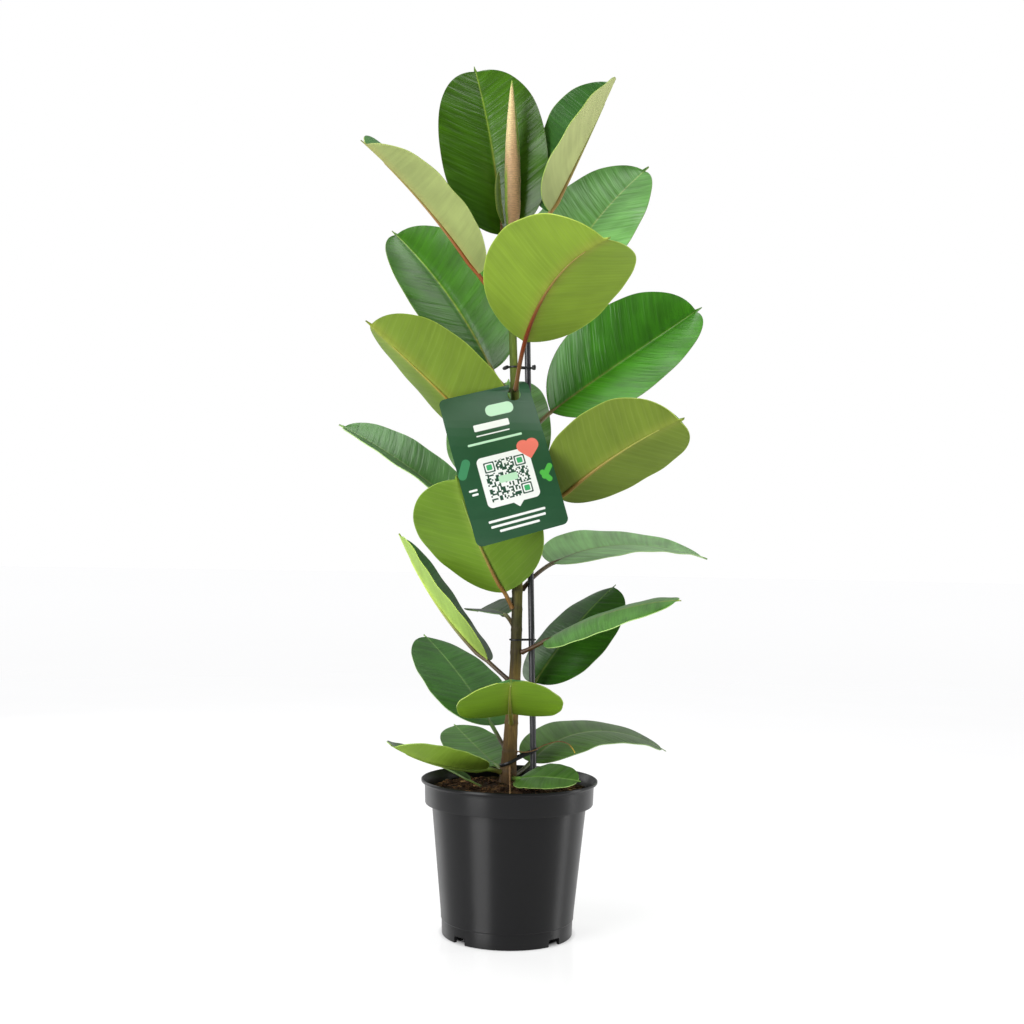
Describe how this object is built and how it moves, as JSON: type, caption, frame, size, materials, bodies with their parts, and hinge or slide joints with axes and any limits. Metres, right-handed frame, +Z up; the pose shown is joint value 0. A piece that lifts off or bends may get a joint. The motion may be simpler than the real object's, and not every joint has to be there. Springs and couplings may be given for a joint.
{
  "type": "potted rubber plant",
  "caption": "Young rubber plant with broad glossy leaves on a single stem, tied to a thin stake in a round black nursery pot, with a care tag, printed only with plain bars and shapes, slipped over the stem.",
  "frame": {"origin": "middle of the pot's underside, on the surface it stands on", "axes": "+Z up along the pot's axis, -Y the front of the plant, +X to its right"},
  "size_m": [0.3796, 0.404, 0.8598],
  "materials": {
    "pot": "thermoformed black polypropylene, satin",
    "soil": "crumbly peat potting soil, matte",
    "bark": "thin brown and olive bark, matte",
    "root": "dry tan roots, matte",
    "leaf": "leathery green leaf, glossy above and matte below",
    "new_leaf": "rolled new leaf, pale and satin",
    "sheath": "olive bud sheath, satin",
    "stake": "plastic-coated rod, satin black",
    "tie": "black plastic tie and clip",
    "tag": "dark green printed polypropylene card, satin, with plain bars and shapes in place of text"
  },
  "bodies": {
    "root": {"nursery_pot": "pot", "potting_soil": "soil", "stem": "bark", "leaf_01": "leaf", "leaf_02": "leaf", "leaf_03": "leaf", "leaf_04": "leaf", "leaf_05": "leaf", "leaf_06": "leaf", "leaf_07": "leaf", "leaf_08": "leaf", "leaf_09": "leaf", "leaf_10": "leaf", "leaf_11": "leaf", "leaf_12": "leaf", "leaf_13": "leaf", "leaf_14": "leaf", "leaf_15": "leaf", "leaf_16": "leaf", "leaf_17": "leaf", "leaf_18": "leaf", "leaf_19": "leaf", "leaf_20": "leaf", "leaf_21": "leaf", "leaf_22": "leaf", "leaf_23": "leaf", "sprout_leaf": "leaf", "rolled_new_leaf": "new_leaf", "bud_sheath": "sheath", "support_stake": "stake", "plant_clip": "tie", "tie_middle": "tie", "tie_lower": "tie", "care_tag": "tag", "aerial_root": "root", "surface_root": "root"}
  },
  "joints": []
}
